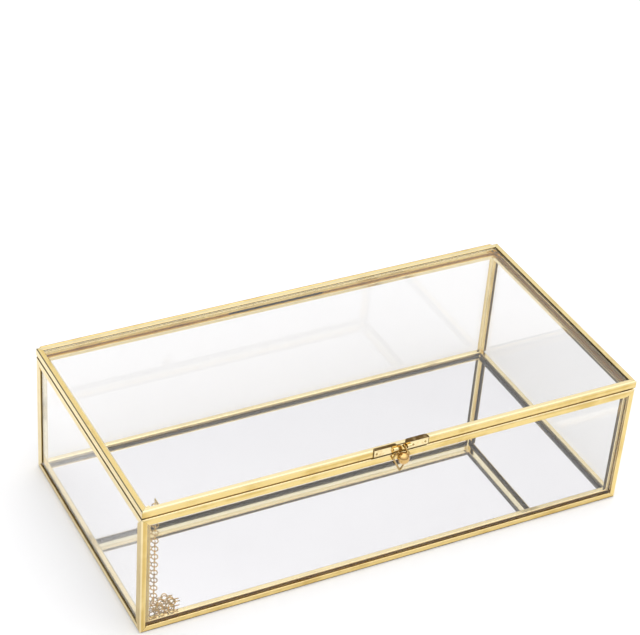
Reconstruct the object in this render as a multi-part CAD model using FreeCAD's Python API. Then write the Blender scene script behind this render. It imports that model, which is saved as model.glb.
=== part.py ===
import FreeCAD, Part
import math
import os

from FreeCAD import Vector

os.makedirs("parts", exist_ok=True)

# Glass jewelry box in brass came, with a mirror floor. Millimetres, +Z up.
# The origin is the middle of the underside. The front is at -Y and the hinge is at +Y.

# overall size of the closed box, without the hinge barrel and the ball stud
LENGTH = 300.0
WIDTH = 152.4
HEIGHT = 84.0
LID_HEIGHT = 4.7
LID_GAP = 0.8

# came: folded brass sheet with a slot for each pane and a bead on the inside
SHEET = 0.6
FLANGE = 3.8
POST_FLANGE = 3.2
POST_SIDE = 6.0
TOP_FLANGE = 4.4
LID_FLANGE = 3.1
SLOT = 2.0
WEB = SHEET + SLOT
BEAD = 5.8
ARRIS = 0.7
TOP_BEAD = 2.2
LID_BEAD = 3.6

# floor, counted from the table up
PAD = 0.6
BOARD = 1.5
COAT = 0.1
MIRROR = 1.9
FLOOR_SLOT = 4.2

# panes fit their slots with this much air on each side
AIR = 0.05
PANE = SLOT - 2 * AIR

# hinge along the back edge
AXIS_Y = WIDTH / 2 + 1.75
AXIS_Z = HEIGHT - 2.8
KNUCKLE_R = 1.65
PIN_R = 0.70
PIN_BORE = 0.75
LEAF = 0.5
HINGE_END = 146.5
MIDDLE_KNUCKLE = (-30.6, 30.2)
LEFT_KNUCKLE_END = -30.9
RIGHT_KNUCKLE_START = 31.0

# closure
CLASP_X = -0.5
CLASP_HALF = 16.8
CLASP_SHEET = 0.5
NOTCH_HALF = 2.6
LOOP_AXIS_Y = -WIDTH / 2 - 1.4
LOOP_AXIS_Z = HEIGHT - 1.4
LOOP_WIRE_R = 0.55
EAR_R = 1.15
EAR_BORE = 0.62
BALL_X = -0.7
BALL_R = 3.4
BALL_STAND = 4.0
BALL_Z = 77.3

# lid chain: round links on one pitch
LINK_R = 1.7
WIRE_R = 0.3
PITCH = 2.74
STRAND_LINKS = 25
STRAND_Y = -66.5
CASE_EYE = Vector(-142.2, STRAND_Y, 75.3)
LID_EYE = Vector(-138.6, STRAND_Y, 78.85)
# the way every second hanging link is turned; the ones between are square to it
ACROSS = Vector(0.465, 0.885, 0)
# the heap: middle x, y, z of each run, its heading in degrees, its links
HEAP = [
    (-136.0, -71.8, 7.5, 0.0, 5),
    (-131.6, -68.2, 5.9, 178.0, 5),
    (-132.2, -64.6, 5.9, -2.0, 5),
    (-131.2, -61.1, 5.9, 176.0, 4),
    (-130.0, -66.3, 9.1, -4.0, 4),
    (-129.4, -69.6, 10.5, 174.0, 3),
    (-139.1, -70.3, 10.7, 3.0, 3),
    (-130.8, -62.9, 9.1, 175.0, 3),
]

BODY_TOP = HEIGHT - LID_HEIGHT - LID_GAP
LID_BOTTOM = HEIGHT - LID_HEIGHT
FRONT = -WIDTH / 2
BACK = WIDTH / 2
END = LENGTH / 2
X = Vector(1, 0, 0)
Y = Vector(0, 1, 0)
Z = Vector(0, 0, 1)


def save(name, shape):
    """Write one node, after dropping the seams that booleans leave."""
    solid = shape.removeSplitter() if len(shape.Solids) == 1 else shape
    if not solid.isValid() or not solid.Solids:
        raise ValueError(name)
    solid.exportStep("parts/%s.step" % name)
    print(name, len(solid.Solids), round(solid.Volume, 2))


def box(x0, x1, y0, y1, z0, z1):
    return Part.makeBox(x1 - x0, y1 - y0, z1 - z0, Vector(x0, y0, z0))


def tube(radius, start, direction, length):
    return Part.makeCylinder(radius, length, start, direction)


def rounded_face(corners, to_space):
    """Face inside an outline of (a, b, radius) corners, laid in space by to_space(a, b)."""
    edges = []
    starts, ends = [], []
    count = len(corners)
    for i, (a, b, radius) in enumerate(corners):
        here = Vector(a, b, 0)
        before = Vector(*corners[i - 1][:2], 0)
        after = Vector(*corners[(i + 1) % count][:2], 0)
        back = (before - here).normalize()
        on = (after - here).normalize()
        cut = radius / math.tan(back.getAngle(on) / 2) if radius else 0.0
        start, end = here + back * cut, here + on * cut
        starts.append(to_space(start.x, start.y))
        ends.append(to_space(end.x, end.y))
        if radius:
            reach = radius / math.sin(back.getAngle(on) / 2) - radius
            middle = here + (back + on).normalize() * reach
            edges.append(Part.Arc(starts[i], to_space(middle.x, middle.y), ends[i]).toShape())
        if i:
            edges.append(Part.LineSegment(ends[i - 1], starts[i]).toShape())
    edges.append(Part.LineSegment(ends[-1], starts[0]).toShape())
    return Part.Face(Part.Wire(Part.__sortEdges__(edges)))


def came(corner, along, inward_u, inward_v, length, section, mitre_v):
    """Length of came whose outer corner runs from corner along the edge.

    The section is drawn in distances u and v from the two outer faces. Both ends are mitred
    against the neighbour across u, and where mitre_v is set against the one across v too.
    """
    face = rounded_face(section, lambda u, v: corner + inward_u * u + inward_v * v)
    bar = face.extrude(along * length)
    reach = BEAD + 1.0
    ramp = [(0, 0), (length, 0), (length - reach, reach), (reach, reach)]
    sides = [(inward_u, inward_v)] + ([(inward_v, inward_u)] if mitre_v else [])
    for across, other in sides:
        points = [corner + along * a + across * b - other for a, b in ramp]
        wedge = Part.Face(Part.makePolygon(points + points[:1])).extrude(other * (reach + 2))
        bar = bar.common(wedge)
    return bar.Solids[0]


BOTTOM_SECTION = [
    (0, 0, ARRIS), (FLANGE, 0, 0), (FLANGE, SHEET, 0), (3.2, SHEET, 0), (3.2, FLOOR_SLOT, 0),
    (BEAD, FLOOR_SLOT, 0), (BEAD, BEAD, ARRIS), (WEB, BEAD, 0.3), (WEB, WEB, 0),
    (SHEET, WEB, 0), (SHEET, FLANGE, 0), (0, FLANGE, 0.25),
]
POST_SECTION = [
    (0, 0, ARRIS), (POST_FLANGE, 0, 0.25), (POST_FLANGE, SHEET, 0), (2.8, SHEET, 0), (2.8, WEB, 0),
    (BEAD, WEB, 0.3), (BEAD, BEAD, ARRIS), (WEB, BEAD, 0.3), (WEB, 2.8, 0), (SHEET, 2.8, 0),
    (SHEET, POST_SIDE, 0), (0, POST_SIDE, 0.25),
]
TOP_SECTION = [
    (0, 0, ARRIS), (BEAD, 0, 0.3), (BEAD, TOP_BEAD, 0.3), (WEB, TOP_BEAD, 0), (WEB, SHEET, 0),
    (SHEET, SHEET, 0), (SHEET, TOP_FLANGE, 0), (0, TOP_FLANGE, 0.25),
]
LID_SECTION = [
    (0, 0, ARRIS), (LID_FLANGE, 0, 0.25), (LID_FLANGE, SHEET, 0), (WEB, SHEET, 0), (WEB, WEB, 0),
    (LID_BEAD, WEB, 0), (LID_BEAD, LID_HEIGHT, 0.4), (0, LID_HEIGHT, 0.6),
]


def frame_rails(name, top, into, section, mitre_v):
    """Four rails round the box at one height; into is the way from their outer face to the panes."""
    rails = {
        "front": (Vector(-END, FRONT, top), X, Y, LENGTH),
        "back": (Vector(-END, BACK, top), X, -Y, LENGTH),
        "left": (Vector(-END, FRONT, top), Y, X, WIDTH),
        "right": (Vector(END, FRONT, top), Y, -X, WIDTH),
    }
    for side, (corner, along, inward, length) in rails.items():
        save("%s_%s" % (name, side), came(corner, along, inward, into, length, section, mitre_v))


def posts():
    """Corner posts, hollowed at the foot for the floor and carried up to the top beads."""
    for front_back, y, inward_y in (("front", FRONT, Y), ("back", BACK, -Y)):
        for left_right, x, inward_x in (("left", -END, X), ("right", END, -X)):
            corner = Vector(x, y, 0)
            post = came(corner, Z, inward_x, inward_y, BODY_TOP, POST_SECTION, True)

            def core(low, start, end):
                at = [(low, low), (BEAD, low), (BEAD, BEAD), (low, BEAD)]
                place = [corner + inward_x * a + inward_y * b + Z * start for a, b in at]
                return Part.Face(Part.makePolygon(place + place[:1])).extrude(Z * (end - start))

            post = post.cut(core(WEB + 0.3, -1.0, FLOOR_SLOT))
            head = core(WEB, BODY_TOP - BEAD - 1.0, BODY_TOP - TOP_BEAD)
            post = post.fuse(head).removeSplitter()
            save("post_%s_%s" % (front_back, left_right), post)


def panes():
    """Wall glass in the case slots, lid glass, and the layers of the floor."""
    low, high = WEB + 0.1, BODY_TOP - SHEET - 0.1
    side = 2.9
    near, far = SHEET + AIR, SHEET + AIR + PANE
    save("glass_front", box(-END + side, END - side, FRONT + near, FRONT + far, low, high))
    save("glass_back", box(-END + side, END - side, BACK - far, BACK - near, low, high))
    save("glass_left", box(-END + near, -END + far, FRONT + side, BACK - side, low, high))
    save("glass_right", box(END - far, END - near, FRONT + side, BACK - side, low, high))
    edge = WEB + 0.1
    save("glass_lid", box(-END + edge, END - edge, FRONT + edge, BACK - edge, HEIGHT - far, HEIGHT - near))
    inset = 3.25
    level = PAD
    for name, thick in (("base_board", BOARD), ("mirror_silvering", COAT), ("mirror_glass", MIRROR)):
        save(name, box(-END + inset, END - inset, FRONT + inset, BACK - inset, level, level + thick))
        level += thick
    inset = FLANGE + 0.1
    save("base_pad", box(-END + inset, END - inset, FRONT + inset, BACK - inset, 0, PAD))


def knuckle(x0, x1, leaf_low, leaf_high, clear):
    """Barrel of one hinge leaf from x0 to x1, with its leaf flat on the back of a rail.

    Above the height clear the leaf stands a hair off the lid rail that turns past it.
    """
    barrel = tube(KNUCKLE_R, Vector(x0, AXIS_Y, AXIS_Z), X, x1 - x0)
    leaf = box(x0, x1, BACK, BACK + LEAF, leaf_low, min(leaf_high, clear))
    if leaf_high > clear:
        leaf = leaf.fuse(box(x0, x1, BACK + AIR, BACK + LEAF, clear - 0.1, leaf_high))
    bore = tube(PIN_BORE, Vector(x0 - 1, AXIS_Y, AXIS_Z), X, x1 - x0 + 2)
    return barrel.fuse(leaf).cut(bore)


def hinge():
    lid_leaf = (LID_BOTTOM + 0.3, HEIGHT - 0.6)
    save("hinge_knuckle_lid_left", knuckle(-HINGE_END, LEFT_KNUCKLE_END, *lid_leaf, HEIGHT))
    save("hinge_knuckle_lid_right", knuckle(RIGHT_KNUCKLE_START, HINGE_END, *lid_leaf, HEIGHT))
    save("hinge_knuckle_case", knuckle(*MIDDLE_KNUCKLE, BODY_TOP - FLANGE + 0.2, AXIS_Z - 0.6, BODY_TOP))
    pin = tube(PIN_R, Vector(-HINGE_END - 0.3, AXIS_Y, AXIS_Z), X, 2 * HINGE_END + 0.6)
    for start in (-HINGE_END - 0.9, HINGE_END + 0.1):
        pin = pin.fuse(tube(1.15, Vector(start, AXIS_Y, AXIS_Z), X, 0.8))
    save("hinge_pin", pin)


def clasp():
    """Plate on the lid's front rail, ears for the loop, rivets, wire loop and ball stud."""
    front = FRONT - CLASP_SHEET
    low, top = LID_BOTTOM + 0.25, HEIGHT + CLASP_SHEET
    near = NOTCH_HALF + 0.3
    plate = None
    for side, lap in ((-1, 1.4), (1, 2.6)):
        x0, x1 = sorted((CLASP_X + side * near, CLASP_X + side * CLASP_HALF))
        wing = box(x0, x1, front, FRONT, low, top)
        over = box(x0, x1, front, FRONT + lap, HEIGHT, top)
        rim = FRONT + lap - 0.01
        ends = [e for e in over.Edges if e.BoundBox.YMin > rim and e.BoundBox.ZLength > 0.4]
        wing = wing.fuse(over.makeFillet(lap * 0.8, ends)).removeSplitter()
        ear = tube(EAR_R, Vector(CLASP_X + side * near, LOOP_AXIS_Y, LOOP_AXIS_Z), X * side, 2.5)
        plate = wing.fuse(ear) if plate is None else plate.fuse(wing).fuse(ear)
    bridge = box(CLASP_X - near - 0.7, CLASP_X + near + 0.7, front, FRONT, HEIGHT - 0.5, top)
    bore = tube(EAR_BORE, Vector(CLASP_X - 6, LOOP_AXIS_Y, LOOP_AXIS_Z), X, 12)
    save("clasp_plate", plate.fuse(bridge).cut(bore))
    for name, x in (("left", -15.4), ("middle", 6.8), ("right", 14.2)):
        head = Part.makeSphere(0.8, Vector(x, front + 0.45, 81.7))
        save("clasp_rivet_%s" % name, head.common(box(x - 1, x + 1, front - 1, front, 80, 83)))

    # half of the loop as (x, radius from its axis); the other half mirrors it
    shoulder, widest, tip = (1.3, 0.0), (5.1, 5.7), 15.8
    pins = [Vector(CLASP_X + s * 5.3, LOOP_AXIS_Y, LOOP_AXIS_Z) for s in (-1, 1)]
    left, right = [
        [Vector(CLASP_X + s * x, LOOP_AXIS_Y, LOOP_AXIS_Z - r) for x, r in (shoulder, widest)]
        for s in (-1, 1)
    ]
    end = Vector(CLASP_X, LOOP_AXIS_Y, LOOP_AXIS_Z - tip)
    route = [pins[0], left[0], left[1], end, right[1], right[0], pins[1]]
    loop = None
    for a, b in zip(route, route[1:]):
        run = tube(LOOP_WIRE_R, a, b - a, (b - a).Length)
        loop = run if loop is None else loop.fuse(run)
    for bend in route[1:-1]:
        loop = loop.fuse(Part.makeSphere(LOOP_WIRE_R, bend))
    save("clasp_loop", loop)

    middle = Vector(BALL_X, FRONT - BALL_STAND, BALL_Z)
    foot = Vector(BALL_X, FRONT, BALL_Z)
    stud = Part.makeSphere(BALL_R, middle).fuse(tube(1.0, foot, -Y, BALL_STAND))
    save("ball_stud", stud.fuse(tube(1.05, foot, -Y, 0.3)))


def ring(centre, normal):
    return Part.makeTorus(LINK_R, WIRE_R, centre, normal)


def run_of_links(start, direction, normal, count):
    """Links in a row from the middle of the first one, each square to the one before."""
    normals = [normal, direction.cross(normal)]
    return Part.makeCompound([ring(start + direction * PITCH * i, normals[i % 2]) for i in range(count)])


def chain():
    """Two hanging strands, the heap of short runs, and the eye at each end."""
    save("chain_strand_case", run_of_links(CASE_EYE - Z * PITCH, -Z, ACROSS, STRAND_LINKS))
    save("chain_strand_lid", run_of_links(LID_EYE - Z * PITCH, -Z, ACROSS, STRAND_LINKS))
    for i, (x, y, z, heading, count) in enumerate(HEAP):
        turn = math.radians(heading)
        direction = Vector(math.cos(turn), math.sin(turn), 0)
        start = Vector(x, y, z) - direction * PITCH * (count - 1) / 2
        save("chain_heap_%d" % (i + 1), run_of_links(start, direction, Z + direction.cross(Z), count))
    eye_turn = Z.cross(ACROSS)
    arm_z = CASE_EYE.z + LINK_R
    arm = tube(0.5, Vector(-END + BEAD, STRAND_Y, arm_z), X, CASE_EYE.x + END - BEAD + 0.4)
    save("chain_eye_case", arm.fuse(ring(CASE_EYE, eye_turn)))
    arm_z = LID_EYE.z + LINK_R
    arm = tube(0.5, Vector(LID_EYE.x, FRONT + LID_BEAD, arm_z), Y, STRAND_Y - FRONT - LID_BEAD + 0.4)
    save("chain_eye_lid", arm.fuse(ring(LID_EYE, eye_turn)))


frame_rails("bottom_rail", 0, Z, BOTTOM_SECTION, True)
posts()
frame_rails("top_rail", BODY_TOP, -Z, TOP_SECTION, True)
frame_rails("lid_rail", HEIGHT, -Z, LID_SECTION, False)
panes()
hinge()
clasp()
chain()
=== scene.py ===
import math

import bmesh
import bpy
from mathutils import Matrix, Vector


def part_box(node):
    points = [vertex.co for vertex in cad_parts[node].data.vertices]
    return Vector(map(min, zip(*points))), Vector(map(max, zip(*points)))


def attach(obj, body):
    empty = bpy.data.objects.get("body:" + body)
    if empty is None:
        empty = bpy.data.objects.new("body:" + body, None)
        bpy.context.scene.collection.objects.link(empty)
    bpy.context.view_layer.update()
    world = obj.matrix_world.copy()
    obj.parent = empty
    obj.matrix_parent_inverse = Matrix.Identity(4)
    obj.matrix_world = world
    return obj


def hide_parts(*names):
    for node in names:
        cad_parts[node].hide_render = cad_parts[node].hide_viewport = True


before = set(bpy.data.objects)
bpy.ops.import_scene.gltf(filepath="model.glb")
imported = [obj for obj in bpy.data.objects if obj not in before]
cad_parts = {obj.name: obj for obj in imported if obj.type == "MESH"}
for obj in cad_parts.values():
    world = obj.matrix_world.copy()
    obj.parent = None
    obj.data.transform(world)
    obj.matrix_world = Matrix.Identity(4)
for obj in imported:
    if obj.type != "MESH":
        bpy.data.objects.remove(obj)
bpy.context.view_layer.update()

MM = 0.001
# case and lid, in millimetres except the chain
LENGTH, WIDTH, HEIGHT = 300.0, 152.4, 84.0
END, SIDE = LENGTH / 2, WIDTH / 2
BODY_TOP = 78.5
MITRE_GAP = 0.06
# chain: heading in degrees and number of links of each heaped run
PITCH, LINK_R, WIRE_R = 2.74 * MM, 1.7 * MM, 0.3 * MM
ACROSS = Vector((0.465, 0.885, 0))
STRAND_LINKS = 25
HEAP_RUNS = ((0.0, 5), (178.0, 5), (-2.0, 5), (176.0, 4), (-4.0, 4), (174.0, 3), (3.0, 3), (175.0, 3))
# closure
LOOP_R = 0.5
LOOP_CLEAR = 0.55
LOOP_HALF = ((5.3, 0.0), (1.3, 0.0), (5.1, 5.7))
BALL_STAND, BALL_NECK = 4.0, 1.0
# tone of a strip of brass, from pale wear and painted highlight (-1) to tarnish and painted shade (1)
# BRIGHT marks roundings painted as highlights, DARK painted shade in slots, gaps and underneath with
# some tarnish; DULL is a darker strip
CLEAN, BRIGHT, DULL, DARK = 0.0, -0.55, 0.30, 0.85
OPEN_SIDE = Vector((-0.52, 0.70, 0.45)).normalized()
OPEN_TONE = (0.10, 0.10, 0.11)
# brightness of the tent by the sine of its height, as a share of TENT_POWER
TENT = ((0.0, 0.22), (0.25, 0.36), (0.50, 0.50), (0.66, 0.60), (0.88, 1.0))
TENT_POWER = 1.9


# ---------------------------------------------------------------- node helpers

def node_adder(tree):
    """Function that adds a node to the tree: its sockets from links, its settings by name."""
    def add(kind, links=None, **settings):
        node = tree.nodes.new(kind)
        for key, value in settings.items():
            setattr(node, key, value)
        for socket, value in (links or {}).items():
            if isinstance(value, bpy.types.NodeSocket):
                tree.links.new(value, node.inputs[socket])
            else:
                node.inputs[socket].default_value = value
        return node

    return add


def new_finish(name):
    """Empty material with its output; returns a node adder and a function that ends the material."""
    finish = bpy.data.materials.new(name)
    finish.use_nodes = True
    tree = finish.node_tree
    tree.nodes.clear()
    output = tree.nodes.new("ShaderNodeOutputMaterial")

    def finish_with(shader):
        tree.links.new(shader, output.inputs["Surface"])
        return finish

    return node_adder(tree), finish_with


def ramp(add, fac, *stops):
    """Colour ramp through (position, grey or colour) stops."""
    node = add("ShaderNodeValToRGB", {"Fac": fac})
    elements = node.color_ramp.elements
    while len(elements) < len(stops):
        elements.new(0.5)
    for element, (position, value) in zip(elements, stops):
        element.position = position
        element.color = (*value, 1) if isinstance(value, tuple) else (value, value, value, 1)
    return node.outputs["Color"]


def noise(add, coords, scale, detail=3.0, rough=0.5):
    links = {"Vector": coords, "Scale": scale, "Detail": detail, "Roughness": rough}
    return add("ShaderNodeTexNoise", links).outputs["Fac"]


def stretched(add, coords, stretch):
    return add("ShaderNodeMapping", {"Vector": coords, "Scale": stretch}).outputs["Vector"]


def rim_of(add, coords, box):
    """1 within half a millimetre of the box's edges in X and Z, 0 inside."""
    low, high = box
    axes = add("ShaderNodeSeparateXYZ", {"Vector": coords})
    sides = []
    for axis, near, far in (("X", low.x, high.x), ("Z", low.z, high.z)):
        off = add("ShaderNodeMath", {0: axes.outputs[axis], 1: (near + far) / 2}, operation="SUBTRACT")
        off = add("ShaderNodeMath", {0: off.outputs[0]}, operation="ABSOLUTE")
        half = (far - near) / 2
        sides.append(add("ShaderNodeMapRange", {
            "Value": off.outputs[0], "From Min": half - 0.0005, "From Max": half - 0.0002}))
    return add("ShaderNodeMath", {0: sides[0].outputs["Result"], 1: sides[1].outputs["Result"]},
               operation="MAXIMUM").outputs[0]


def brass(name, grain, pale, deep, gloss, rim=None):
    """Polished brass with drawn grain; the strip tone runs from pale wear and painted highlight (-1) to
    tarnish and painted shade (1).
    """
    add, finish_with = new_finish(name)
    coords = add("ShaderNodeTexCoord").outputs["Object"]
    clouds = noise(add, coords, 60.0, 4.0, 0.6)
    specks = noise(add, coords, 520.0, 2.0)
    streaks = noise(add, stretched(add, coords, grain), 1500.0, 2.0)
    bands = noise(add, stretched(add, coords, grain), 420.0, 2.0)
    tarnish_and_painted_light = add("ShaderNodeAttribute", attribute_name="tarnish_and_painted_light").outputs["Fac"]
    # on the clasp plate the tone is 1 along its edges: a painted shade line round the plate
    if rim:
        tarnish_and_painted_light = rim_of(add, coords, rim)

    def blend(amount, below, above):
        mix = add("ShaderNodeMix", {0: amount}, data_type="RGBA")
        ends = [i for i in mix.inputs if i.type == "RGBA"]
        for end, colour in zip(ends, (below, above)):
            if isinstance(colour, tuple):
                end.default_value = (*colour, 1)
            else:
                mix.id_data.links.new(colour, end)
        return next(o for o in mix.outputs if o.type == "RGBA")

    patches = add("ShaderNodeMath", {0: clouds, 1: bands}, operation="ADD").outputs[0]
    tone = ramp(add, patches, (0.80, deep), (1.15, pale))
    tone = blend(ramp(add, specks, (0.68, 0.0), (0.80, 0.30)), tone, tuple(c * 0.5 for c in deep))
    # pale where the tone is below zero: wear and painted highlight
    rubbed_and_highlight = add("ShaderNodeMapRange", {
        "Value": tarnish_and_painted_light, "From Min": 0.0, "From Max": -1.0}).outputs["Result"]
    tone = blend(rubbed_and_highlight, tone, RUBBED_AND_HIGHLIGHT)
    uneven = add("ShaderNodeMapRange", {"Value": bands, "From Min": 0.3, "From Max": 0.7,
                                        "To Min": 0.75, "To Max": 1.15}).outputs["Result"]
    # dark where the tone is above zero: tarnish and painted shade
    dark = add("ShaderNodeMath", {0: tarnish_and_painted_light, 1: uneven}, operation="MULTIPLY", use_clamp=True).outputs[0]
    tone = blend(dark, tone, TARNISH_AND_SHADE)
    rough = add("ShaderNodeMapRange", {"Value": clouds, "From Min": 0.3, "From Max": 0.7,
                                       "To Min": gloss, "To Max": gloss + 0.05}).outputs["Result"]
    rough = add("ShaderNodeMath", {0: dark, 1: 0.28, 2: rough}, operation="MULTIPLY_ADD").outputs[0]
    drawn = add("ShaderNodeBump", {"Height": streaks, "Strength": 0.3, "Distance": 0.00004})
    ripple = add("ShaderNodeBump", {"Height": noise(add, coords, 90.0, 1.0), "Strength": 0.2,
                                    "Distance": 0.0004, "Normal": drawn.outputs["Normal"]})
    shader = add("ShaderNodeBsdfPrincipled", {"Base Color": tone, "Metallic": 1.0, "Roughness": rough,
                                              "Normal": ripple.outputs["Normal"]})
    return finish_with(shader.outputs["BSDF"])


def clear_glass(name, tint, smear):
    """Float glass with faint wipe marks; lamps, and rays past four surfaces, go straight through."""
    add, finish_with = new_finish(name)
    coords = add("ShaderNodeTexCoord").outputs["Object"]
    wipe = noise(add, stretched(add, coords, (1.0, 2.2, 1.6)), 26.0, 3.0)
    rough = add("ShaderNodeMapRange", {"Value": wipe, "From Min": 0.45, "From Max": 0.8,
                                       "To Min": 0.0, "To Max": smear})
    glass = add("ShaderNodeBsdfPrincipled", {
        "Base Color": (*tint, 1), "Roughness": rough.outputs["Result"],
        "Transmission Weight": 1.0, "IOR": 1.5})
    through = add("ShaderNodeBsdfTransparent", {"Color": (*(math.sqrt(c) for c in tint), 1)})
    path = add("ShaderNodeLightPath")
    deep = add("ShaderNodeMath", {0: path.outputs["Transmission Depth"], 1: 3.5},
               operation="GREATER_THAN")
    straight = add("ShaderNodeMath", {0: path.outputs["Is Shadow Ray"], 1: deep.outputs[0]},
                   operation="MAXIMUM")
    mix = add("ShaderNodeMixShader", {0: straight.outputs[0], 1: glass.outputs["BSDF"],
                                      2: through.outputs["BSDF"]})
    return finish_with(mix.outputs["Shader"])


def silvering():
    add, finish_with = new_finish("mirror_silvering")
    coords = add("ShaderNodeTexCoord").outputs["Object"]
    haze = noise(add, coords, 18.0, 3.0)
    tone = ramp(add, haze, (0.3, (0.895, 0.891, 0.908)), (0.7, (0.915, 0.911, 0.928)))
    rough = add("ShaderNodeMapRange", {"Value": haze, "To Min": 0.0, "To Max": 0.02})
    shader = add("ShaderNodeBsdfPrincipled", {
        "Base Color": tone, "Metallic": 1.0, "Roughness": rough.outputs["Result"]})
    return finish_with(shader.outputs["BSDF"])


def board():
    """Brown hardboard with pressed fibre."""
    add, finish_with = new_finish("backing_board")
    coords = add("ShaderNodeTexCoord").outputs["Object"]
    fibre = noise(add, coords, 900.0, 4.0, 0.7)
    tone = ramp(add, fibre, (0.3, (0.16, 0.10, 0.06)), (0.7, (0.30, 0.21, 0.13)))
    bump = add("ShaderNodeBump", {"Height": fibre, "Strength": 0.4, "Distance": 0.0002})
    shader = add("ShaderNodeBsdfPrincipled", {"Base Color": tone, "Roughness": 0.85,
                                              "Normal": bump.outputs["Normal"]})
    return finish_with(shader.outputs["BSDF"])


def felt():
    """Black felt with loose fibre."""
    add, finish_with = new_finish("base_felt")
    coords = add("ShaderNodeTexCoord").outputs["Object"]
    fuzz = noise(add, coords, 1500.0, 5.0, 0.75)
    tone = ramp(add, fuzz, (0.3, (0.012, 0.012, 0.013)), (0.75, (0.06, 0.06, 0.065)))
    bump = add("ShaderNodeBump", {"Height": fuzz, "Strength": 0.8, "Distance": 0.0004})
    shader = add("ShaderNodeBsdfPrincipled", {"Base Color": tone, "Roughness": 0.95, "Sheen Weight": 0.6,
                                              "Normal": bump.outputs["Normal"]})
    return finish_with(shader.outputs["BSDF"])


PALE = (0.83, 0.64, 0.27)
DEEP = (0.68, 0.48, 0.16)
# pale of wear and painted highlight, and dark of tarnish and painted shade
RUBBED_AND_HIGHLIGHT = (0.97, 0.88, 0.60)
TARNISH_AND_SHADE = (0.115, 0.065, 0.018)
ALONG = {
    "x": brass("brass_along_x", (0.02, 1, 1), PALE, DEEP, 0.07),
    "y": brass("brass_along_y", (1, 0.02, 1), PALE, DEEP, 0.07),
    "z": brass("brass_along_z", (1, 1, 0.02), PALE, DEEP, 0.07),
}
FITTING = brass("bright_fitting_brass", (1, 1, 1), (0.90, 0.76, 0.44), (0.80, 0.60, 0.28), 0.06)
# the plate's edges are darkened as a painted shade line where it meets the lid
PLATE = brass("plate_brass", (1, 1, 1), (0.90, 0.76, 0.44), (0.80, 0.60, 0.28), 0.06,
              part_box("clasp_plate"))
LINKS = brass("chain_brass", (1, 1, 1), (0.70, 0.47, 0.12), (0.40, 0.25, 0.05), 0.05)
BALL = brass("ball_brass", (1, 1, 1), (0.66, 0.43, 0.17), (0.52, 0.31, 0.10), 0.02)
WIRE = brass("loop_brass", (1, 1, 1), (0.48, 0.32, 0.12), (0.28, 0.17, 0.05), 0.05)
PANE = clear_glass("pane_glass", (0.945, 0.942, 0.939), 0.02)
MIRROR_FRONT = clear_glass("mirror_cover_glass", (0.975, 0.974, 0.976), 0.01)


def set_finish(name, finish):
    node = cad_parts[name]
    node.data.materials.clear()
    node.data.materials.append(finish)


for side, along in (("front", "x"), ("back", "x"), ("left", "y"), ("right", "y")):
    for rail in ("bottom_rail", "top_rail", "lid_rail"):
        set_finish("%s_%s" % (rail, side), ALONG[along])
    set_finish("glass_" + side, PANE)
for post in ("front_left", "front_right", "back_left", "back_right"):
    set_finish("post_" + post, ALONG["z"])
for name in ("hinge_knuckle_case", "hinge_knuckle_lid_left", "hinge_knuckle_lid_right", "hinge_pin"):
    set_finish(name, ALONG["x"])
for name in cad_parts:
    if name.startswith(("chain_", "clasp_", "ball_")):
        set_finish(name, PLATE if name == "clasp_plate" else FITTING)
set_finish("glass_lid", PANE)
set_finish("mirror_silvering", silvering())
set_finish("base_board", board())
set_finish("base_pad", felt())


# ---------------------------------------------------------------- pieces

def piece(name, shape, body, finish, stands_for=(), smooth=True):
    """Turn a finished bmesh into a piece that rides on a body."""
    mesh = bpy.data.meshes.new(name)
    shape.to_mesh(mesh)
    shape.free()
    for face in mesh.polygons:
        face.use_smooth = smooth
    mesh.materials.append(finish)
    made = bpy.data.objects.new(name, mesh)
    bpy.context.scene.collection.objects.link(made)
    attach(made, body)
    if stands_for:
        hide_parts(*stands_for)
    return made


def block(low, high):
    shape = bmesh.new()
    bmesh.ops.create_cube(shape, size=1.0)
    bmesh.ops.scale(shape, vec=high - low, verts=shape.verts)
    bmesh.ops.translate(shape, vec=(low + high) / 2, verts=shape.verts)
    return shape


def mirror_plate():
    """Floor glass with ground arrises, standing a hair off its silvering."""
    low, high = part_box("mirror_glass")
    low.z += 0.02 * MM
    plate = block(low, high)
    bmesh.ops.bevel(plate, geom=plate.edges[:], offset=0.25 * MM, segments=2, profile=0.5,
                    affect="EDGES", material=-1)
    piece("mirror_plate", plate, "case", MIRROR_FRONT, ["mirror_glass"], smooth=False)


def outline(section):
    """Points round a section with its arrises rounded, and the tone of the strip after each: tarnish and
    painted shade above zero, pale wear and painted highlight below.

    A section is a list of corners (u, v, radius, tone of the rounding, tone of the strip after).
    """
    points, strip_tarnish_and_painted_light = [], []
    count = len(section)
    for i, (u, v, radius, rounding_tarnish_and_painted_light, strip) in enumerate(section):
        here = Vector((u, v))
        if not radius:
            points.append(here)
            strip_tarnish_and_painted_light.append(strip)
            continue
        before = (Vector(section[i - 1][:2]) - here).normalized()
        after = (Vector(section[(i + 1) % count][:2]) - here).normalized()
        middle = here + (before + after) * radius
        for step in range(5):
            turn = step * math.pi / 8
            points.append(middle - (after * math.cos(turn) + before * math.sin(turn)) * radius)
            strip_tarnish_and_painted_light.append(rounding_tarnish_and_painted_light if step < 4 else strip)
    return points, strip_tarnish_and_painted_light


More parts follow.
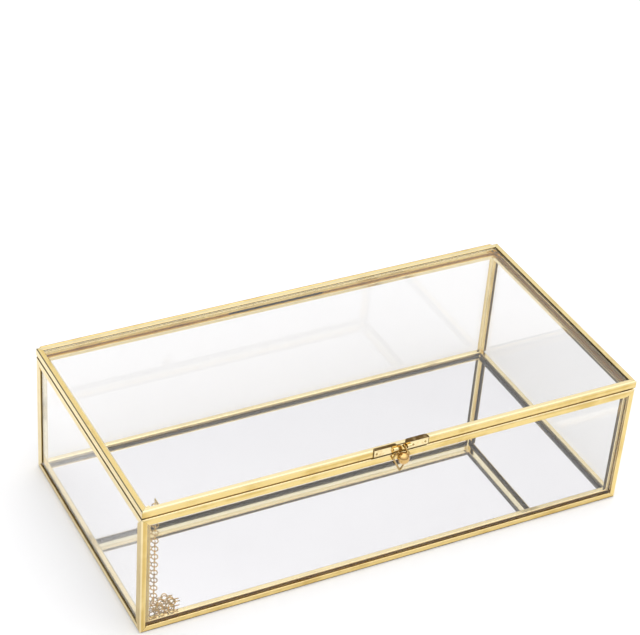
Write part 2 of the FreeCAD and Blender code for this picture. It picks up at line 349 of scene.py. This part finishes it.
def came_bar(section, corner, along, across, into, length, cuts):
    """Length of came; cuts give how far each end stands back for a point (u, v) of the section."""
    points, strip_tarnish_and_painted_light = outline(section)
    shape = bmesh.new()
    # tone of each face: tarnish and painted shade above zero, pale wear and painted highlight below
    tarnish_and_painted_light = shape.faces.layers.float.new("tarnish_and_painted_light")

    def at(point, far):
        back = cuts[far](*point) + MITRE_GAP
        reach = length - back if far else back
        return (corner + along * reach + across * point[0] + into * point[1]) * MM

    near = [shape.verts.new(at(p, 0)) for p in points]
    rim = [shape.edges.new((near[i], near[(i + 1) % len(near)])) for i in range(len(near))]
    swept = bmesh.ops.extrude_edge_only(shape, edges=rim)["geom"]
    walls = [g for g in swept if isinstance(g, bmesh.types.BMFace)]
    for wall in walls:
        edge = next(e for e in wall.edges if e in rim)
        wall[tarnish_and_painted_light] = strip_tarnish_and_painted_light[rim.index(edge)]
        for vert in edge.verts:
            twin = next(e.other_vert(vert) for e in vert.link_edges
                        if e in wall.edges and e is not edge)
            twin.co = at(points[near.index(vert)], 1)
    ends = [[], []]
    for edge in shape.edges:
        if edge.is_boundary:
            ends[edge not in rim].append(edge)
    for end in ends:
        bmesh.ops.triangle_fill(shape, use_beauty=True, edges=end, normal=along)
    bmesh.ops.recalc_face_normals(shape, faces=shape.faces)
    return shape


def both(u, v):
    """Mitre that follows whichever way the section reaches further."""
    return max(u, v)


def across_only(u, v):
    """Plain mitre at a corner of a flat frame."""
    return u


def post_head(u, v):
    """Mitre of a post's flanges, its core standing up to the underside of the top rail."""
    return 2.2 if min(u, v) > 2.5 else max(u, v)


def bottom_section(side_face, bead_top):
    """Bottom rail: outer flange, underside with the floor slot, and inner bead."""
    # painted light in the tones: the bottom arris and underside carry painted contact shade, the glass
    # slot painted shade with tarnish, the bead roundings painted highlights
    return [
        (0, 0, 0.9, 0.75, DARK), (3.8, 0, 0, 0, DARK), (3.8, 0.6, 0, 0, DARK), (3.2, 0.6, 0, 0, DARK),
        (3.2, 3.2, 0, 0, DARK), (3.2, 4.2, 0, 0, DARK), (5.8, 4.2, 0, 0, 0.5),
        (5.8, 5.8, 0.7, BRIGHT, bead_top), (2.6, 5.8, 0.3, BRIGHT, CLEAN), (2.6, 2.6, 0, 0, DARK),
        (0.6, 2.6, 0, 0, DARK), (0.6, 3.8, 0, 0, DARK), (0, 3.8, 0.28, -0.35, side_face),
    ]


def post_section(u_face, v_face, u_bead, v_bead):
    """Post: two outer flanges with a glass slot behind each, and the bead inside."""
    # painted light in the tones: the glass slots carry painted shade with tarnish, the bead and outer
    # roundings painted highlights
    return [
        (0, 0, 0.7, BRIGHT, v_face), (3.2, 0, 0.28, -0.35, DARK), (3.2, 0.6, 0, 0, DARK),
        (2.8, 0.6, 0, 0, DARK), (2.8, 2.6, 0, 0, 0.35), (5.8, 2.6, 0.3, BRIGHT, u_bead),
        (5.8, 5.8, 0.6, BRIGHT, v_bead), (2.6, 5.8, 0.3, 0.6, 0.3), (2.6, 2.8, 0, 0, DARK),
        (0.6, 2.8, 0, 0, DARK), (0.6, 6.0, 0, 0, DARK), (0, 6.0, 0.28, DULL, u_face),
    ]


def top_section(side_face, bead):
    """Top rail of the case: outer flange, top, and low inner bead."""
    # painted light in the tones: the slot carries painted shade with tarnish, the top face, bead
    # underside and flange inner face are painted pale as reflections, and the roundings as highlights
    return [
        (0, 0, 0.6, BRIGHT, -0.5), (5.8, 0, 0.3, BRIGHT, bead), (5.8, 2.2, 0.3, BRIGHT, -1.0),
        (2.6, 2.2, 0, 0, DARK), (2.6, 0.6, 0, 0, DARK), (0.6, 0.6, 0, 0, -0.9), (0.6, 4.4, 0, 0, DULL),
        (0, 4.4, 0.28, -0.2, side_face),
    ]


def lid_section(top_face, side_face, bead):
    """Lid rail: top flange over the lid glass, outer side, and bead under the glass."""
    # painted light in the tones: the flange underside over the glass and the slot carry painted shade
    # with tarnish, the lower outer arris painted shade at the gap to the case, the roundings painted
    # highlights
    return [
        (0, 0, 0.65, BRIGHT, top_face), (3.1, 0, 0.25, -0.3, 1.3), (3.1, 0.6, 0, 0, 1.3),
        (2.6, 0.6, 0, 0, DARK), (2.6, 2.6, 0, 0, CLEAN), (3.6, 2.6, 0.3, BRIGHT, bead),
        (3.6, 4.7, 0.4, BRIGHT, DULL), (0, 4.7, 0.6, DARK, side_face),
    ]


def came_frames():
    """Every rail of the case and the lid, and the four posts."""
    x, y, z = Vector((1, 0, 0)), Vector((0, 1, 0)), Vector((0, 0, 1))
    runs = {
        "front": (Vector((-END, -SIDE, 0)), x, y, LENGTH),
        "back": (Vector((-END, SIDE, 0)), x, -y, LENGTH),
        "left": (Vector((-END, -SIDE, 0)), y, x, WIDTH),
        "right": (Vector((END, -SIDE, 0)), y, -x, WIDTH),
    }
    # tones of each side's outer face and lid top are painted light: the front and back lid tops as
    # painted highlight, the left outer faces and the right lid top painted a little paler
    looks = {
        "front": (CLEAN, BRIGHT), "back": (CLEAN, BRIGHT),
        "left": (-0.3, CLEAN), "right": (CLEAN, -0.2),
    }
    for side, (corner, along, across, length) in runs.items():
        side_face, top_face = looks[side]
        finish = ALONG["x" if abs(along.x) > 0.5 else "y"]
        for rail, level, into, section, cut, body in (
                ("bottom_rail", 0.0, z, bottom_section(side_face, BRIGHT), both, "case"),
                ("top_rail", BODY_TOP, -z, top_section(side_face, BRIGHT), both, "case"),
                ("lid_rail", HEIGHT, -z, lid_section(top_face, side_face, CLEAN), across_only, "lid")):
            node = "%s_%s" % (rail, side)
            shape = came_bar(section, corner + z * level, along, across, into, length, (cut, cut))
            piece("brass_" + node, shape, body, finish, [node], smooth=False)
    # per-post tones: the front-left post's left flange is a little darker, the back-left post's left
    # flange and inner bead are painted paler as highlight
    for post, px, py, section in (
            ("front_left", -1, -1, post_section(0.22, CLEAN, CLEAN, CLEAN)),
            ("front_right", 1, -1, post_section(CLEAN, CLEAN, CLEAN, CLEAN)),
            ("back_left", -1, 1, post_section(-0.3, CLEAN, CLEAN, -1.0)),
            ("back_right", 1, 1, post_section(CLEAN, CLEAN, CLEAN, CLEAN))):
        node = "post_" + post
        foot = Vector((END * px, SIDE * py, 0))
        shape = came_bar(section, foot, z, -x * px, -y * py, BODY_TOP, (both, post_head))
        piece("brass_" + node, shape, "case", ALONG["z"], [node], smooth=False)


def ring_of_wire(shape, middle, normal, radius, wire, gap):
    """Jump ring: a round wire spun about its middle, cut where its ends meet."""
    ring = bmesh.ops.create_circle(shape, segments=6, radius=wire)["verts"]
    stand = Matrix.Translation((radius, 0, 0)) @ Matrix.Rotation(math.pi / 2, 4, "X")
    bmesh.ops.transform(shape, matrix=stand, verts=ring)
    edges = list({e for v in ring for e in v.link_edges})
    made = bmesh.ops.spin(shape, geom=ring + edges, cent=(0, 0, 0), axis=(0, 0, 1),
                          angle=2 * math.pi - gap, steps=15)
    grown = [g for g in made["geom_last"] if isinstance(g, bmesh.types.BMVert)]
    seen, waiting = set(), list(ring) + grown
    while waiting:
        vert = waiting.pop()
        if vert not in seen:
            seen.add(vert)
            waiting += [e.other_vert(vert) for e in vert.link_edges]
    open_ends = {e for v in seen for e in v.link_edges if e.is_boundary}
    bmesh.ops.holes_fill(shape, edges=list(open_ends), sides=6)
    facing = normal.normalized().to_track_quat("Z", "Y").to_matrix().to_4x4()
    bmesh.ops.transform(shape, matrix=Matrix.Translation(middle) @ facing, verts=list(seen))


def run_of_rings(node, middle, direction, normal, count, body):
    """Straight run of linked rings, every second one turned a quarter."""
    shape = bmesh.new()
    start = middle - direction * PITCH * (count - 1) / 2
    normals = [normal, direction.cross(normal)]
    for i in range(count):
        ring_of_wire(shape, start + direction * PITCH * i, normals[i % 2], LINK_R, WIRE_R, 0.10)
    bmesh.ops.recalc_face_normals(shape, faces=shape.faces)
    piece("links_" + node, shape, body, LINKS, [node])


def chain():
    """The two hanging strands and the heap."""
    for strand, body in (("case", "chain_case"), ("lid", "chain_lid")):
        node = "chain_strand_" + strand
        low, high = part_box(node)
        run_of_rings(node, (low + high) / 2, Vector((0, 0, -1)), ACROSS, STRAND_LINKS, body)
    for i, (heading, count) in enumerate(HEAP_RUNS):
        node = "chain_heap_%d" % (i + 1)
        low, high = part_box(node)
        turn = math.radians(heading)
        direction = Vector((math.cos(turn), math.sin(turn), 0))
        up = Vector((0, 0, 1))
        run_of_rings(node, (low + high) / 2, direction, up + direction.cross(up), count, node)


def turned(shape, profile, foot, out, steps):
    """Spin a profile of (distance from the foot, radius) about the way out."""
    level = out.orthogonal().normalized()
    verts = [shape.verts.new((foot + out * d + level * r) * MM) for d, r in profile]
    edges = [shape.edges.new(pair) for pair in zip(verts, verts[1:])]
    bmesh.ops.spin(shape, geom=verts + edges, cent=foot * MM, axis=out, angle=2 * math.pi, steps=steps)
    bmesh.ops.remove_doubles(shape, verts=shape.verts[:], dist=0.00001)
    bmesh.ops.recalc_face_normals(shape, faces=shape.faces)


def bent(route, reach):
    """The route with every corner rounded off over the given reach."""
    path = [route[0]]
    for before, here, after in zip(route, route[1:], route[2:]):
        start = here + (before - here).normalized() * reach
        end = here + (after - here).normalized() * reach
        for step in range(6):
            t = step / 5
            path.append(start * (1 - t) ** 2 + here * 2 * t * (1 - t) + end * t ** 2)
    return path + [route[-1]]


def wire_along(shape, path, radius, sides=10):
    """Round wire pushed along a path, closed at both ends."""
    rim = bmesh.ops.create_circle(shape, cap_ends=True, segments=sides, radius=radius * MM)["verts"]
    heading = (path[1] - path[0]).normalized()
    turn = heading.to_track_quat("Z", "Y")
    place = Matrix.Translation(path[0] * MM) @ turn.to_matrix().to_4x4()
    bmesh.ops.transform(shape, matrix=place, verts=rim)
    for i in range(1, len(path)):
        onward = (path[min(i + 1, len(path) - 1)] - path[i - 1]).normalized()
        edges = list({e for v in rim for e in v.link_edges if e.other_vert(v) in rim})
        grown = bmesh.ops.extrude_edge_only(shape, edges=edges)["geom"]
        rim = [g for g in grown if isinstance(g, bmesh.types.BMVert)]
        swing = heading.rotation_difference(onward).to_matrix().to_4x4()
        step = Matrix.Translation(path[i] * MM) @ swing @ Matrix.Translation(-path[i - 1] * MM)
        bmesh.ops.transform(shape, matrix=step, verts=rim)
        heading = onward
    bmesh.ops.contextual_create(shape, geom=rim)
    bmesh.ops.recalc_face_normals(shape, faces=shape.faces)


def arc_of_ball(radius, stand, neck):
    """Profile of a ball on a collared neck, from the foot outward."""
    first = math.asin(neck / radius)
    ball = [(stand - radius * math.cos(a), radius * math.sin(a))
            for a in (first + (math.pi - first) * k / 20 for k in range(21))]
    return [(0, 0), (0, neck + 0.05), (0.3, neck + 0.05), (0.3, neck)] + ball


def closure():
    """Ball stud, wire loop and rivet heads."""
    low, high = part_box("ball_stud")
    middle = (low + high) / 2 / MM
    radius = (high.x - low.x) / 2 / MM
    stud = bmesh.new()
    foot = Vector((middle.x, -SIDE, middle.z))
    turned(stud, arc_of_ball(radius, BALL_STAND, BALL_NECK), foot, Vector((0, -1, 0)), 32)
    piece("ball_on_collar", stud, "case", BALL, ["ball_stud"])

    low, high = (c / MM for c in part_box("clasp_loop"))
    centre, level, top = (low.x + high.x) / 2, (low.y + high.y) / 2, high.z - LOOP_CLEAR
    route = [Vector((centre - x, level, top - r)) for x, r in LOOP_HALF]
    route.append(Vector((centre, level, low.z + LOOP_CLEAR)))
    route += [Vector((centre + x, level, top - r)) for x, r in reversed(LOOP_HALF)]
    loop = bmesh.new()
    wire_along(loop, bent(route, 1.0), LOOP_R)
    piece("bent_wire_loop", loop, "clasp_loop", WIRE, ["clasp_loop"])

    for name in ("left", "middle", "right"):
        node = "clasp_rivet_" + name
        low, high = (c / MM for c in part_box(node))
        centre = (low + high) / 2
        head = bmesh.new()
        radius = (high.x - low.x) / 2
        rise = high.y - low.y
        angles = [math.pi / 2 * k / 6 for k in range(7)]
        dome = [(rise * math.sin(a), radius * math.cos(a)) for a in angles]
        turned(head, [(0, 0)] + dome, Vector((centre.x, high.y, centre.z)), Vector((0, -1, 0)), 16)
        piece("rivet_head_" + name, head, "lid", WIRE, [node])


mirror_plate()
came_frames()
chain()
closure()


# ---------------------------------------------------------------- floor, light and camera

def pale_floor():
    shape = bmesh.new()
    bmesh.ops.create_grid(shape, x_segments=1, y_segments=1, size=6.0)
    mesh = bpy.data.meshes.new("floor")
    shape.to_mesh(mesh)
    shape.free()
    floor = bpy.data.objects.new("floor", mesh)
    bpy.context.scene.collection.objects.link(floor)
    add, finish_with = new_finish("floor_paper")
    coords = add("ShaderNodeTexCoord").outputs["Object"]
    tone = ramp(add, noise(add, coords, 3.0), (0.3, 0.925), (0.7, 0.935))
    shader = add("ShaderNodeBsdfPrincipled", {"Base Color": tone, "Roughness": 0.9,
                                              "Specular IOR Level": 0.1})
    mesh.materials.append(finish_with(shader.outputs["BSDF"]))


def studio():
    """White tent, brighter overhead, with one open side at the back left."""
    world = bpy.data.worlds.new("studio")
    bpy.context.scene.world = world
    world.use_nodes = True
    tree = world.node_tree
    tree.nodes.clear()
    add = node_adder(tree)
    toward = tree.nodes.new("ShaderNodeTexCoord").outputs["Generated"]
    height = add("ShaderNodeSeparateXYZ", {0: toward}).outputs["Z"]
    tent = tree.nodes.new("ShaderNodeValToRGB")
    tree.links.new(height, tent.inputs["Fac"])
    stops = tent.color_ramp.elements
    while len(stops) < len(TENT):
        stops.new(0.5)
    for stop, (position, grey) in zip(stops, TENT):
        stop.position = position
        stop.color = (grey, grey, grey * 1.01, 1)
    lit = add("ShaderNodeVectorMath", {0: tent.outputs["Color"], "Scale": TENT_POWER},
              operation="SCALE")
    facing = add("ShaderNodeVectorMath", {0: toward, 1: OPEN_SIDE}, operation="DOT_PRODUCT")
    gap = add("ShaderNodeMapRange", {
        "Value": facing.outputs["Value"], "From Min": 0.70, "From Max": 0.90},
              interpolation_type="SMOOTHSTEP")
    view = add("ShaderNodeMix", {0: gap.outputs["Result"]}, data_type="RGBA")
    colours = [i for i in view.inputs if i.type == "RGBA"]
    tree.links.new(lit.outputs["Vector"], colours[0])
    colours[1].default_value = (*OPEN_TONE, 1)
    back = add("ShaderNodeBackground", {"Strength": 1.0})
    tree.links.new(next(o for o in view.outputs if o.type == "RGBA"), back.inputs["Color"])
    out = tree.nodes.new("ShaderNodeOutputWorld")
    tree.links.new(back.outputs[0], out.inputs["Surface"])


def softbox(name, place, aim, size, power):
    lamp = bpy.data.lights.new(name, "AREA")
    lamp.shape = "RECTANGLE"
    lamp.size, lamp.size_y = size
    lamp.energy = power
    holder = bpy.data.objects.new(name, lamp)
    holder.location = place
    holder.rotation_euler = (Vector(aim) - Vector(place)).to_track_quat("-Z", "Y").to_euler()
    bpy.context.scene.collection.objects.link(holder)


def camera():
    place = Vector((-0.46663, -0.80057, 0.75693))
    look = Vector((0.37454, 0.71290, -0.59287)).normalized()
    tilt = math.radians(3.614)
    level = look.cross(Vector((0, 0, 1))).normalized()
    upright = level.cross(look)
    right = level * math.cos(tilt) + upright * math.sin(tilt)
    top = upright * math.cos(tilt) - level * math.sin(tilt)
    lens = bpy.data.cameras.new("camera")
    lens.sensor_width = 36.0
    lens.lens = 115.17
    lens.shift_x = 0.0886
    lens.shift_y = 0.0862
    lens.clip_start = 0.05
    holder = bpy.data.objects.new("camera", lens)
    holder.matrix_world = Matrix((
        (right.x, top.x, -look.x, place.x),
        (right.y, top.y, -look.y, place.y),
        (right.z, top.z, -look.z, place.z),
        (0, 0, 0, 1)))
    bpy.context.scene.collection.objects.link(holder)
    bpy.context.scene.camera = holder


pale_floor()
studio()
softbox("window", (-1.6, 0.4, 1.9), (0, 0, 0.05), (1.4, 1.4), 6.0)
camera()
bpy.context.scene.view_settings.view_transform = "Standard"
